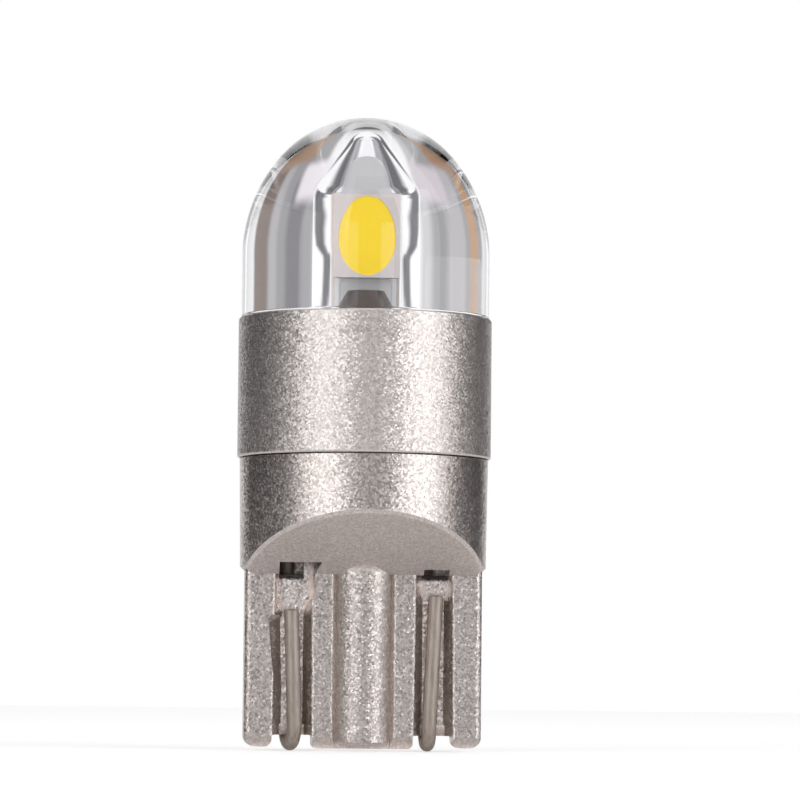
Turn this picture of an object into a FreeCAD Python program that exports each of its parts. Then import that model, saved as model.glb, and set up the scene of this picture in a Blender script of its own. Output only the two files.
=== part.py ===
import FreeCAD, Part
import math
import os

# Wedge base LED bulb with a clear lens, a blasted metal sleeve and a moulded wedge cap.
# The origin is on the bulb's axis, at the lowest point of the two wire loops.
# +Z runs up to the tip of the lens, and -Y is the front, where the wire ends show.

# Lengths along the axis, in millimetres.
pad_end_height = 0.1
rib_end_lift = 0.05
ridge_end_lift = 0.1
blade_length = 6.8
skirt_height = 4.53
sleeve_length = 5.57
lens_wall_height = 2.45
dome_height = 5.55

# Blade of the wedge cap.
blade_width = 9.3
blade_thickness = 2.1
blade_edge_radius = 0.25
web_thickness = 0.84
slot_centre = 2.76
slot_mouth_width = 1.44
slot_floor_width = 0.84
slot_draft = 0.14
web_relief_overrun = 0.07
face_edge_radius = 0.16
channel_width = 2.4
channel_foot_width = 2.1
channel_depth = 0.25
end_taper_height = 0.45
end_taper_depth = 0.25
end_edge_radius = 0.15
rib_outer_end_radius = 0.45
rib_inner_end_radius = 0.3
pad_end_radius = 0.2
notch_radius = 0.08
web_crown_radius = 0.25
recess_top_drop = 1.6
recess_height = 2.9
recess_depth = 0.27
recess_foot_depth = 0.08
recess_corner_radius = 0.22

# Round ridges in the middle of the blade, and the fillets that join them to the roof.
ridge_radius = 1.2
ridge_offset = 0.35
ridge_end_chamfer = 0.15
ridge_draft = 0.05
ridge_fillet = 0.35

# Round body of the wedge cap, which sits a step inside the sleeve.
skirt_step = 0.1
skirt_draft = 0.06
shoulder_chamfer = 0.3
roof_edge_chamfer = 0.1
roof_angle = 31.0
floor_thickness = 0.9
cup_wall = 0.6
cup_spigot_length = 1.5
window_outer_edge = 3.33
wide_window_inner_edge = 1.68
wide_window_lower_inner_edge = 2.12
wide_window_reach = 1.77
narrow_window_inner_edge = 2.34
narrow_window_reach = 1.38

# Metal sleeve.
sleeve_radius = 5.0
sleeve_wall = 0.65
spigot_clearance = 0.05
sleeve_edge_chamfer = 0.08
deck_thickness = 1.0
deck_depth = 1.1
board_slot_clearance = 0.1

# Clear lens.
lens_flange_step = 0.07
lens_wall_step = 0.1
seat_clearance = 0.05
dome_blend_angle = 40.0
cavity_mouth_radius = 2.1
cavity_radius = 1.42
cavity_mouth_height = 1.05
cavity_wall_height = 4.4
cavity_cone_height = 1.86
cavity_cone_top_radius = 0.3
cavity_nose_radius = 0.5

# Contact wires.
wire_diameter = 0.58
wire_gap = 0.04
left_wire_end_drop = 1.4
left_wire_front_top = -2.82
left_wire_front_bottom = -2.66
left_wire_rear = -2.95
right_wire_end_drop = 0.8
right_wire_front_top = 2.84
right_wire_front_bottom = 2.62
right_wire_rear = 2.56
wire_bend_steps = 3
wire_bend_relief = 0.005
wire_solder_rise = 1.35
wire_solder_overrun = 0.15
solder_foot_width = 0.96
solder_foot_height = 1.0
solder_top_width = 0.7
solder_top_height = 0.6
solder_reach = 0.78

# Circuit board and the adhesive that holds it in the deck.
board_thickness = 0.6
board_rise_above_rim = 5.6
board_neck_width = 1.9
board_top_radius = 0.9
board_foot_clearance = 0.2
board_foot_lift = 0.15
board_corner_radius = 0.3
bead_foot_radius = 1.9
bead_top_radius = 0.75
bead_height = 2.1

# Light-emitting diodes, one on each face of the board.
led_centre_above_rim = 2.93
led_width = 2.15
led_length = 2.9
led_thickness = 0.5
cup_mouth_half_width = 0.95
cup_mouth_half_length = 1.36
cup_wall_inset = 0.1
cup_depth = 0.35
phosphor_recess = 0.03
chip_size = 0.7
chip_thickness = 0.14
solder_thickness = 0.04
led_pad_width = 1.7
led_pad_length = 0.8
led_pad_pitch = 1.9

# Drive parts on the foot of the board, with the rise of each centre above its lower edge.
rectifier_rise = 3.65
rectifier_body_width = 3.9
rectifier_body_height = 4.7
rectifier_body_thickness = 1.5
rectifier_side_draft = 0.12
rectifier_lead_inset = 0.3
rectifier_lead_width = 0.65
rectifier_lead_pitch = 2.5
rectifier_lead_thickness = 0.22
rectifier_lead_foot = 0.6
rectifier_standoff = 0.1
driver_chip_side = -1.2
driver_chip_rise = 4.35
driver_body_width = 1.6
driver_body_height = 2.9
driver_body_thickness = 1.1
driver_side_draft = 0.08
driver_lead_span = 2.8
driver_lead_width = 0.4
driver_lead_pitch = 0.95
driver_lead_thickness = 0.15
driver_lead_foot = 0.35
driver_standoff = 0.08
resistor_side = 1.5
resistor_rise = 4.45
resistor_width = 1.6
resistor_length = 3.2
resistor_thickness = 0.55
resistor_terminal = 0.5
capacitor_rise = 1.25
capacitor_width = 1.25
capacitor_length = 2.0
capacitor_thickness = 1.2
capacitor_terminal = 0.4
terminal_wrap = 0.06

# Places worked out from the lengths above.
shoulder_height = pad_end_height + blade_length
seam_height = shoulder_height + skirt_height
rim_height = seam_height + sleeve_length
dome_start_height = rim_height + lens_wall_height
half_blade = blade_thickness / 2
half_web = web_thickness / 2
web_end_height = wire_diameter + wire_gap
roof_slope = math.tan(math.radians(roof_angle))
deck_top_height = rim_height - deck_depth
deck_foot_height = deck_top_height - deck_thickness
lens_foot_height = deck_top_height + seat_clearance
board_foot_height = shoulder_height + floor_thickness + board_foot_lift
board_step_height = deck_foot_height - seat_clearance
board_top_height = rim_height + board_rise_above_rim
led_centre_height = rim_height + led_centre_above_rim
wire_solder_height = board_foot_height + wire_solder_rise
half_board = board_thickness / 2
half_board_slot = half_board + board_slot_clearance
half_neck_slot = board_neck_width / 2 + board_slot_clearance
blade_merge_height = shoulder_height + floor_thickness / 2
wire_offset = half_web + wire_gap + wire_diameter / 2
sleeve_bore_radius = sleeve_radius - sleeve_wall
spigot_radius = sleeve_bore_radius - spigot_clearance
cup_radius = spigot_radius - cup_wall
skirt_top_radius = sleeve_radius - skirt_step
skirt_foot_radius = skirt_top_radius - skirt_draft
lens_flange_radius = sleeve_radius - lens_flange_step
lens_wall_radius = sleeve_radius - lens_wall_step
board_foot_width = 2 * (cup_radius - board_foot_clearance)
rectifier_lead_span = board_foot_width - 2 * rectifier_lead_inset
margin = 1.0


def tangent_path(points, radii, closed):
    """Wire through the points, each corner rounded by an arc tangent to its two sides."""
    starts = []
    middles = []
    ends = []
    count = len(points)
    for index in range(count):
        corner = points[index]
        if radii[index] == 0 or (not closed and index in (0, count - 1)):
            starts.append(corner)
            middles.append(None)
            ends.append(corner)
            continue
        back = (points[index - 1] - corner).normalize()
        onward = (points[(index + 1) % count] - corner).normalize()
        half_angle = back.getAngle(onward) / 2
        reach = radii[index] / math.tan(half_angle)
        inward = (back + onward).normalize()
        starts.append(corner + back * reach)
        middles.append(corner + inward * (radii[index] / math.sin(half_angle) - radii[index]))
        ends.append(corner + onward * reach)
    edges = []
    for index in range(count):
        if middles[index] is not None:
            edges.append(Part.Arc(starts[index], middles[index], ends[index]).toShape())
        following = (index + 1) % count
        if following != 0 or closed:
            edges.append(Part.LineSegment(ends[index], starts[following]).toShape())
    return Part.Wire(edges)


def plan_wire(corners, height):
    """Rounded outline seen from above: corners are (x, y, radius)."""
    points = [FreeCAD.Vector(x, y, height) for x, y, radius in corners]
    return tangent_path(points, [radius for x, y, radius in corners], True)


def front_prism(corners, half_depth):
    """Rounded outline seen from the front, (x, z, radius), carried through along Y."""
    points = [FreeCAD.Vector(x, -half_depth, z) for x, z, radius in corners]
    outline = tangent_path(points, [radius for x, z, radius in corners], True)
    return Part.Face(outline).extrude(FreeCAD.Vector(0, 2 * half_depth, 0))


def side_prism(corners, half_length):
    """Rounded outline seen from the side, (y, z, radius), carried through along X."""
    points = [FreeCAD.Vector(-half_length, y, z) for y, z, radius in corners]
    outline = tangent_path(points, [radius for y, z, radius in corners], True)
    return Part.Face(outline).extrude(FreeCAD.Vector(2 * half_length, 0, 0))


def turned(corners, axis_y=0.0):
    """Solid turned about a line parallel to Z: corners are (radius from the line, z, rounding)."""
    points = [FreeCAD.Vector(radius, axis_y, z) for radius, z, rounding in corners]
    outline = tangent_path(points, [rounding for radius, z, rounding in corners], True)
    return Part.Face(outline).revolve(FreeCAD.Vector(0, axis_y, 0), FreeCAD.Vector(0, 0, 1), 360)


def block(x_low, x_high, y_low, y_high, z_low, z_high):
    """Plain block between two corners."""
    corner = FreeCAD.Vector(x_low, y_low, z_low)
    return Part.makeBox(x_high - x_low, y_high - y_low, z_high - z_low, corner)


def half_turn(shape):
    """Copy of a shape turned half a turn about the bulb's axis."""
    copy = shape.copy()
    copy.rotate(FreeCAD.Vector(0, 0, 0), FreeCAD.Vector(0, 0, 1), 180)
    return copy


def mirrored(shape):
    """Copy of a shape on the other side of the blade's middle."""
    return shape.mirror(FreeCAD.Vector(0, 0, 0), FreeCAD.Vector(1, 0, 0))


def save(name, shape):
    """Write one piece, after a check that it is whole."""
    if not shape.isValid() or shape.Volume <= 0:
        raise ValueError(name + " is not a sound solid")
    shape.exportStep(os.path.join("parts", name + ".step"))
    print(name, len(shape.Solids), round(shape.Volume, 3))


def blade_outline(height, draft):
    """Section of the blade: end ribs, slots and pads, the same on both faces and both sides."""
    half_mouth = (slot_mouth_width + draft) / 2
    half_floor = slot_floor_width / 2
    corners = [
        (blade_width / 2, -half_blade, blade_edge_radius),
        (slot_centre + half_mouth, -half_blade, face_edge_radius),
        (slot_centre + half_floor, -half_web, 0),
        (slot_centre - half_floor, -half_web, 0),
        (slot_centre - half_mouth, -half_blade, face_edge_radius),
        (channel_width / 2, -half_blade, face_edge_radius),
        (channel_foot_width / 2, channel_depth - half_blade, 0),
    ]
    front_left = [(-x, y, radius) for x, y, radius in reversed(corners)]
    rear_left = [(-x, -y, radius) for x, y, radius in corners]
    rear_right = [(x, -y, radius) for x, y, radius in reversed(corners)]
    return plan_wire(corners + front_left + rear_left + rear_right, height)


def blade_front_outline():
    """Front view of the blade: rounded ends of ribs and pads, with a notch under each web."""
    rib_end_height = pad_end_height + rib_end_lift
    half_mouth = (slot_mouth_width + slot_draft) / 2
    right = [
        (blade_width / 2, blade_merge_height, 0),
        (blade_width / 2, rib_end_height, rib_outer_end_radius),
        (slot_centre + half_mouth, rib_end_height, rib_inner_end_radius),
        (slot_centre + half_mouth, web_end_height, notch_radius),
        (slot_centre - half_mouth, web_end_height, notch_radius),
        (slot_centre - half_mouth, pad_end_height, pad_end_radius),
    ]
    left = [(-x, z, radius) for x, z, radius in reversed(right)]
    return front_prism(right + left, half_blade + margin)


def blade_side_outline():
    """Side view of the blade: both faces draw in over a short lead-in at the end."""
    spread = half_blade + margin
    taper_slope = end_taper_height / end_taper_depth
    taper_top = pad_end_height + end_taper_height + margin * taper_slope
    front = [
        (-spread, blade_merge_height + margin, 0),
        (-spread, taper_top, 0),
        (end_taper_depth - half_blade, pad_end_height, end_edge_radius),
    ]
    rear = [(-y, z, radius) for y, z, radius in reversed(front)]
    return side_prism(front + rear, blade_width)


def web_relief():
    """What is taken off the square lower edge of a web so that a wire can be bent round it."""
    half_width = slot_floor_width / 2 + web_relief_overrun
    low = slot_centre - half_width
    high = slot_centre + half_width
    square = block(low, high, -half_blade, half_blade, web_end_height - margin, web_end_height + half_web)
    start = FreeCAD.Vector(low - margin, 0, web_end_height + half_web)
    length = high - low + 2 * margin
    roller = Part.makeCylinder(half_web, length, start, FreeCAD.Vector(1, 0, 0))
    return square.cut(roller)


def rib_recess():
    """Tapered recess in the slot side of the front left rib, open to the slot."""
    edge = slot_centre + slot_mouth_width / 2
    foot_edge = slot_centre + slot_floor_width / 2
    overrun = margin / (half_blade - half_web)
    edge_outside = edge + overrun * (edge - foot_edge)
    depth_outside = recess_depth + overrun * (recess_depth - recess_foot_depth)
    top = shoulder_height - recess_top_drop
    wires = []
    for y, reach, wall in (
        (-half_blade - margin, depth_outside, edge_outside),
        (-half_web, recess_foot_depth, foot_edge),
    ):
        corners = [
            FreeCAD.Vector(-slot_centre, y, top),
            FreeCAD.Vector(-wall - reach, y, top),
            FreeCAD.Vector(-wall, y, top - recess_height),
            FreeCAD.Vector(-slot_centre, y, top - recess_height),
        ]
        wires.append(tangent_path(corners, [0, recess_corner_radius, 0, 0], True))
    return Part.makeLoft(wires, True, True)


def ridge():
    """Round ridge on the front face, with the concave fillet that joins it to the roof."""
    end_height = pad_end_height + ridge_end_lift
    post = turned([
        (0, end_height, 0),
        (ridge_radius - ridge_draft - ridge_end_chamfer, end_height, 0),
        (ridge_radius - ridge_draft, end_height + ridge_end_chamfer, 0),
        (ridge_radius, blade_merge_height, 0),
        (0, blade_merge_height, 0),
    ], -ridge_offset)
    sweep = math.radians(90 - roof_angle)
    rise = ridge_fillet * math.sin(sweep)
    spread = ridge_fillet * (1 - math.cos(sweep))
    roof_there = shoulder_height + (ridge_offset + ridge_radius + spread - half_blade) * roof_slope
    start_height = roof_there - rise
    centre_radius = ridge_radius + ridge_fillet
    middle = FreeCAD.Vector(
        centre_radius - ridge_fillet * math.cos(sweep / 2),
        -ridge_offset,
        start_height + ridge_fillet * math.sin(sweep / 2),
    )
    foot = FreeCAD.Vector(ridge_radius, -ridge_offset, start_height)
    head = FreeCAD.Vector(ridge_radius + spread, -ridge_offset, roof_there)
    top_outer = FreeCAD.Vector(ridge_radius + spread, -ridge_offset, blade_merge_height)
    top_inner = FreeCAD.Vector(0, -ridge_offset, blade_merge_height)
    foot_inner = FreeCAD.Vector(0, -ridge_offset, start_height)
    outline = Part.Wire([
        Part.Arc(foot, middle, head).toShape(),
        Part.LineSegment(head, top_outer).toShape(),
        Part.LineSegment(top_outer, top_inner).toShape(),
        Part.LineSegment(top_inner, foot_inner).toShape(),
        Part.LineSegment(foot_inner, foot).toShape(),
    ])
    axis_point = FreeCAD.Vector(0, -ridge_offset, 0)
    collar = Part.Face(outline).revolve(axis_point, FreeCAD.Vector(0, 0, 1), 360)
    return post.fuse(collar)


def blade():
    """Flat blade that goes into the holder, with slots for the wires on both faces."""
    sections = [blade_outline(0, slot_draft), blade_outline(blade_merge_height, 0)]
    plate = Part.makeLoft(sections, True, True)
    plate = plate.common(blade_front_outline()).common(blade_side_outline())
    relief = web_relief()
    recess = rib_recess()
    plate = plate.cut(relief).cut(half_turn(relief))
    plate = plate.cut(recess).cut(half_turn(recess))
    front_ridge = ridge()
    return plate.fuse([front_ridge, half_turn(front_ridge)])


def roof_prism(offset, top):
    """Space above the two slanted faces under the round body, raised by the offset."""
    reach = skirt_top_radius + margin
    level = shoulder_height + offset
    side_height = level + (reach - half_blade) * roof_slope
    return side_prism([
        (-half_blade, level, 0),
        (half_blade, level, 0),
        (reach, side_height, 0),
        (reach, top, 0),
        (-reach, top, 0),
        (-reach, side_height, 0),
    ], reach)


def window(inner, lower_inner, reach):
    """Opening above the front left slot, through the floor of the cup, with one slanted end."""
    y_low = -reach
    y_high = -half_web
    corners = [
        (-window_outer_edge, y_low, 0),
        (-inner, y_low, 0),
        (-lower_inner, y_high, 0),
        (-window_outer_edge, y_high, 0),
    ]
    outline = Part.Face(plan_wire(corners, shoulder_height - margin))
    depth = margin + floor_thickness + (reach - half_blade) * roof_slope + wire_gap
    return outline.extrude(FreeCAD.Vector(0, 0, depth))


def web_opening():
    """What is taken off above the left web, so that the windows meet over its round crown."""
    low = shoulder_height - web_crown_radius
    high = shoulder_height + floor_thickness + wire_gap
    half_depth = half_web + wire_gap
    gap = block(-window_outer_edge, -narrow_window_inner_edge, -half_depth, half_depth, low, high)
    crown = side_prism([
        (-half_web, low - margin, 0),
        (half_web, low - margin, 0),
        (half_web, shoulder_height, web_crown_radius),
        (-half_web, shoulder_height, web_crown_radius),
    ], blade_width)
    return gap.cut(crown)


def wire_passage():
    """Way up for the left wire at the rear, from the slot through the floor of the cup."""
    low = shoulder_height - wire_gap
    high = shoulder_height + floor_thickness + wire_gap
    return block(-window_outer_edge, -wide_window_lower_inner_edge, half_web, half_blade + wire_gap,
                 low, high)


def break_roof_edges(body):
    """Take off the curved edges where the two slanted faces run out through the round wall."""
    edges = []
    for edge in body.Edges:
        bounds = edge.BoundBox
        outside = min(abs(bounds.YMin), abs(bounds.YMax)) > half_blade
        if outside and bounds.XLength > skirt_top_radius and bounds.ZLength > roof_slope:
            edges.append(edge)
    return body.makeChamfer(roof_edge_chamfer, edges)


def wedge_base():
    """Moulded wedge cap: round cup with two slanted faces under it, and the blade."""
    spigot_top = seam_height + cup_spigot_length
    body = turned([
        (0, shoulder_height, 0),
        (skirt_foot_radius - shoulder_chamfer, shoulder_height, 0),
        (skirt_foot_radius, shoulder_height + shoulder_chamfer, 0),
        (skirt_top_radius, seam_height, 0),
        (spigot_radius, seam_height, 0),
        (spigot_radius, spigot_top, 0),
        (0, spigot_top, 0),
    ])
    body = break_roof_edges(body.common(roof_prism(0, spigot_top + margin)))
    bore_start = FreeCAD.Vector(0, 0, shoulder_height)
    bore = Part.makeCylinder(cup_radius, spigot_top - shoulder_height + margin, bore_start)
    bore = bore.common(roof_prism(floor_thickness, spigot_top + 2 * margin))
    body = body.cut(bore)
    wide = window(wide_window_inner_edge, wide_window_lower_inner_edge, wide_window_reach)
    narrow = window(narrow_window_inner_edge, narrow_window_inner_edge, narrow_window_reach)
    base = body.fuse(blade()).cut(wide).cut(mirrored(narrow))
    for opening in (wire_passage(), web_opening()):
        base = base.cut(opening).cut(mirrored(opening))
    return base.removeSplitter()


def heat_sink_sleeve():
    """Turned and blasted metal sleeve with a slotted deck that carries the board."""
    shell = turned([
        (sleeve_bore_radius, seam_height, 0),
        (sleeve_radius - sleeve_edge_chamfer, seam_height, 0),
        (sleeve_radius, seam_height + sleeve_edge_chamfer, 0),
        (sleeve_radius, rim_height - sleeve_edge_chamfer, 0),
        (sleeve_radius - sleeve_edge_chamfer, rim_height, 0),
        (sleeve_bore_radius, rim_height, 0),
        (sleeve_bore_radius, deck_top_height, 0),
        (0, deck_top_height, 0),
        (0, deck_foot_height, 0),
        (sleeve_bore_radius, deck_foot_height, 0),
    ])
    slot = block(-half_neck_slot, half_neck_slot, -half_board_slot, half_board_slot,
                 deck_foot_height - margin, deck_top_height + margin)
    return shell.cut(slot)


def domed(levels, dome_level, dome_radius, height):
    """Solid turned about Z: straight profile from the foot, closed by a dome of two tangent arcs."""
    angle = math.radians(dome_blend_angle)
    across = math.cos(angle)
    up = math.sin(angle)
    scale = (1 - across) * (1 - up) - across * up
    side_radius = (dome_radius * (1 - up) - across * height) / scale
    tip_radius = (height * (1 - across) - up * dome_radius) / scale
    side = FreeCAD.Vector(dome_radius, 0, dome_level)
    side_middle = FreeCAD.Vector(
        dome_radius - side_radius * (1 - math.cos(angle / 2)),
        0,
        dome_level + side_radius * math.sin(angle / 2),
    )
    blend = FreeCAD.Vector(tip_radius * across, 0, dome_level + side_radius * up)
    tip = FreeCAD.Vector(0, 0, dome_level + height)
    tip_angle = (angle + math.pi / 2) / 2
    tip_middle = FreeCAD.Vector(
        tip_radius * math.cos(tip_angle),
        0,
        tip.z - tip_radius * (1 - math.sin(tip_angle)),
    )
    points = [FreeCAD.Vector(0, 0, levels[0][1])]
    points += [FreeCAD.Vector(radius, 0, z) for radius, z in levels]
    points.append(side)
    edges = []
    for first, second in zip(points, points[1:]):
        edges.append(Part.LineSegment(first, second).toShape())
    edges.append(Part.Arc(side, side_middle, blend).toShape())
    edges.append(Part.Arc(blend, tip_middle, tip).toShape())
    edges.append(Part.LineSegment(tip, points[0]).toShape())
    return Part.Face(Part.Wire(edges)).revolve(FreeCAD.Vector(0, 0, 0), FreeCAD.Vector(0, 0, 1), 360)


def lens_cavity():
    """Space in the lens round the board, as a tapered core pin with a round nose leaves it."""
    wall_start = lens_foot_height + cavity_mouth_height
    wall_end = wall_start + cavity_wall_height
    tip = wall_end + cavity_cone_height
    return turned([
        (0, lens_foot_height - margin, 0),
        (cavity_mouth_radius, lens_foot_height - margin, 0),
        (cavity_mouth_radius, lens_foot_height, 0),
        (cavity_radius, wall_start, 0),
        (cavity_radius, wall_end, 0),
        (cavity_cone_top_radius, tip, cavity_nose_radius),
        (0, tip, 0),
    ])


def lens():
    """Clear moulded lens with a tall dome, a locating spigot and a blind cavity."""
    outside = domed([
        (spigot_radius, lens_foot_height),
        (spigot_radius, rim_height),
        (lens_flange_radius, rim_height),
    ], dome_start_height, lens_wall_radius, dome_height)
    return outside.cut(lens_cavity())


def wire_bend(arc):
    """Bend of a wire, lofted through rings set square to the arc that it follows."""
    rings = []
    for step in range(wire_bend_steps + 1):
        share = step / wire_bend_steps
        place = arc.FirstParameter + share * (arc.LastParameter - arc.FirstParameter)
        sideways = FreeCAD.Vector(1, 0, 0)
        turn = FreeCAD.Rotation(sideways, FreeCAD.Vector(0, 0, 0), arc.tangentAt(place), "ZXY")
        ring = Part.makeCircle(wire_diameter / 2)
        ring.Placement = FreeCAD.Placement(arc.valueAt(place), turn)
        rings.append(Part.Wire(ring))
    return Part.makeLoft(rings, True, True)


def contact_wire(front_top, front_bottom, rear, end_drop):
    """Bare wire from its free end down the front slot, round the web and up to the board."""
    low = wire_diameter / 2
    points = [
        FreeCAD.Vector(front_top, -wire_offset, shoulder_height - end_drop),
        FreeCAD.Vector(front_bottom, -wire_offset, low),
        FreeCAD.Vector(rear, wire_offset, low),
        FreeCAD.Vector(rear, wire_offset, wire_solder_height + wire_solder_overrun),
    ]
    bend = wire_offset - wire_bend_relief
    lengths = []
    for edge in tangent_path(points, [0, bend, bend, 0], False).Edges:
        if isinstance(edge.Curve, Part.Line):
            start = edge.firstVertex().Point
            run = edge.lastVertex().Point - start
            lengths.append(Part.makeCylinder(wire_diameter / 2, run.Length, start, run))
        else:
            lengths.append(wire_bend(edge))
    return lengths[0].fuse(lengths[1:])


def solder_joint(place_x, wire):
    """Solder heaped over the end of a contact wire on the rear of the board."""
    wires = []
    for y, width, height in (
        (half_board, solder_foot_width, solder_foot_height),
        (half_board + solder_reach, solder_top_width, solder_top_height),
    ):
        x = width / 2
        low = wire_solder_height - height / 2
        high = wire_solder_height + height / 2
        wires.append(Part.makePolygon([
            FreeCAD.Vector(place_x - x, y, low),
            FreeCAD.Vector(place_x + x, y, low),
            FreeCAD.Vector(place_x + x, y, high),
            FreeCAD.Vector(place_x - x, y, high),
            FreeCAD.Vector(place_x - x, y, low),
        ]))
    return Part.makeLoft(wires, True, True).cut(wire)


def circuit_board():
    """Board with a wide foot inside the cap and a narrow neck that stands up in the lens."""
    right = [
        (board_foot_width / 2, board_foot_height, board_corner_radius),
        (board_foot_width / 2, board_step_height, board_corner_radius),
        (board_neck_width / 2, board_step_height, 0),
        (board_neck_width / 2, board_top_height, board_top_radius),
    ]
    left = [(-x, z, radius) for x, z, radius in reversed(right)]
    return front_prism(right + left, half_board)


def board_adhesive():
    """Heap of adhesive round the neck of the board, run down into the slot of the deck."""
    heap_start = FreeCAD.Vector(0, 0, deck_top_height)
    heap = Part.makeCone(bead_foot_radius, bead_top_radius, bead_height, heap_start)
    plug = block(-half_neck_slot, half_neck_slot, -half_board_slot, half_board_slot,
                 deck_foot_height, deck_top_height)
    return heap.fuse(plug).cut(circuit_board()).removeSplitter()


def facing_front(shape):
    """Stand a piece drawn flat, with its top up along Z, on the front of the board."""
    copy = shape.copy()
    copy.rotate(FreeCAD.Vector(0, 0, 0), FreeCAD.Vector(1, 0, 0), 90)
    copy.translate(FreeCAD.Vector(0, -half_board, 0))
    return copy


def oval_fill(depth):
    """What fills the oval cup up to a depth: its wall draws in toward the floor."""
    floor = solder_thickness + led_thickness - cup_depth
    rings = []
    for level in (0, depth):
        inset = cup_wall_inset * (1 - level / cup_depth)
        centre = FreeCAD.Vector(0, 0, floor + level)
        end = FreeCAD.Vector(0, cup_mouth_half_length - inset, floor + level)
        side = FreeCAD.Vector(cup_mouth_half_width - inset, 0, floor + level)
        rings.append(Part.Wire(Part.Ellipse(end, side, centre).toShape()))
    return Part.makeLoft(rings, True, True)


def led_housing():
    """White moulded package with an oval cup, drawn flat with its foot on the solder."""
    half_width = led_width / 2
    half_length = led_length / 2
    top = solder_thickness + led_thickness
    body = block(-half_width, half_width, -half_length, half_length, solder_thickness, top)
    return body.cut(oval_fill(cup_depth))


def led_chip():
    """Die on the floor of the cup."""
    floor = solder_thickness + led_thickness - cup_depth
    half = chip_size / 2
    return block(-half, half, -half, half, floor, floor + chip_thickness)


def led_phosphor():
    """Phosphor cast in the cup over the die, a little below the rim."""
    return oval_fill(cup_depth - phosphor_recess).cut(led_chip())


def led_solder():
    """Two solder lands between the package and the board."""
    lands = []
    for side in (-1, 1):
        centre = side * led_pad_pitch / 2
        lands.append(block(-led_pad_width / 2, led_pad_width / 2,
                           centre - led_pad_length / 2, centre + led_pad_length / 2,
                           0, solder_thickness))
    return Part.makeCompound(lands)


def drafted_body(width, height, thickness, draft, standoff):
    """Moulded package drawn flat, with a parting line half way up and drafted sides."""
    wires = []
    for level, inset in ((0, draft), (thickness / 2, 0), (thickness, draft)):
        x = width / 2 - inset
        y = height / 2 - inset
        wires.append(Part.makePolygon([
            FreeCAD.Vector(-x, -y, standoff + level),
            FreeCAD.Vector(x, -y, standoff + level),
            FreeCAD.Vector(x, y, standoff + level),
            FreeCAD.Vector(-x, y, standoff + level),
            FreeCAD.Vector(-x, -y, standoff + level),
        ]))
    return Part.makeLoft(wires, True, True)


def gull_leads(body, span, body_width, exit_height, lead_width, thickness, foot, places):
    """Bent leads on both sides of a package, drawn flat, cut where the body begins."""
    knee = body_width / 2 + thickness
    path = [
        (body_width / 2 - thickness, exit_height + thickness / 2),
        (knee + thickness, exit_height + thickness / 2),
        (span / 2 - foot + thickness, thickness),
        (span / 2, thickness),
        (span / 2, 0),
        (span / 2 - foot, 0),
        (knee, exit_height - thickness / 2),
        (body_width / 2 - thickness, exit_height - thickness / 2),
    ]
    leads = []
    for place in places:
        points = [FreeCAD.Vector(x, place - lead_width / 2, z) for x, z in path]
        face = Part.Face(Part.makePolygon(points + points[:1]))
        lead = face.extrude(FreeCAD.Vector(0, lead_width, 0)).cut(body)
        leads.append(lead)
        leads.append(half_turn(lead))
    return Part.makeCompound(leads)


def rectifier():
    """Four-lead bridge rectifier on the front of the board's foot."""
    body = drafted_body(rectifier_body_width, rectifier_body_height, rectifier_body_thickness,
                        rectifier_side_draft, rectifier_standoff)
    exit_height = rectifier_standoff + rectifier_body_thickness / 2
    places = (-rectifier_lead_pitch / 2, rectifier_lead_pitch / 2)
    leads = gull_leads(body, rectifier_lead_span, rectifier_body_width, exit_height,
                       rectifier_lead_width, rectifier_lead_thickness, rectifier_lead_foot, places)
    raised = FreeCAD.Vector(0, 0, board_foot_height + rectifier_rise)
    pieces = []
    for piece in (body, leads):
        stood = facing_front(piece)
        stood.translate(raised)
        pieces.append(stood)
    return pieces


def driver_chip():
    """Six-lead driver chip on the rear of the board's foot."""
    body = drafted_body(driver_body_width, driver_body_height, driver_body_thickness,
                        driver_side_draft, driver_standoff)
    exit_height = driver_standoff + driver_body_thickness / 2
    places = (-driver_lead_pitch, 0, driver_lead_pitch)
    leads = gull_leads(body, driver_lead_span, driver_body_width, exit_height,
                       driver_lead_width, driver_lead_thickness, driver_lead_foot, places)
    shift = FreeCAD.Vector(driver_chip_side, 0, board_foot_height + driver_chip_rise)
    pieces = []
    for piece in (body, leads):
        stood = half_turn(facing_front(piece))
        stood.translate(shift)
        pieces.append(stood)
    return pieces


def chip_component(width, length, thickness, terminal, shift, lengthways):
    """Ceramic body and its two plated end caps, drawn flat and stood on the rear of the board."""
    half_width = width / 2
    half_length = length / 2
    low = terminal_wrap
    body = block(-half_width + low, half_width - low, -half_length + low, half_length - low,
                 low, thickness - low)
    caps = []
    for side in (-1, 1):
        near = side * (half_length - terminal)
        far = side * half_length
        cap = block(-half_width, half_width, min(near, far), max(near, far), 0, thickness)
        caps.append(cap.cut(body))
    pieces = []
    for piece in (body, Part.makeCompound(caps)):
        if not lengthways:
            piece.rotate(FreeCAD.Vector(0, 0, 0), FreeCAD.Vector(0, 0, 1), 90)
        stood = half_turn(facing_front(piece))
        stood.translate(shift)
        pieces.append(stood)
    return pieces


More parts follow.
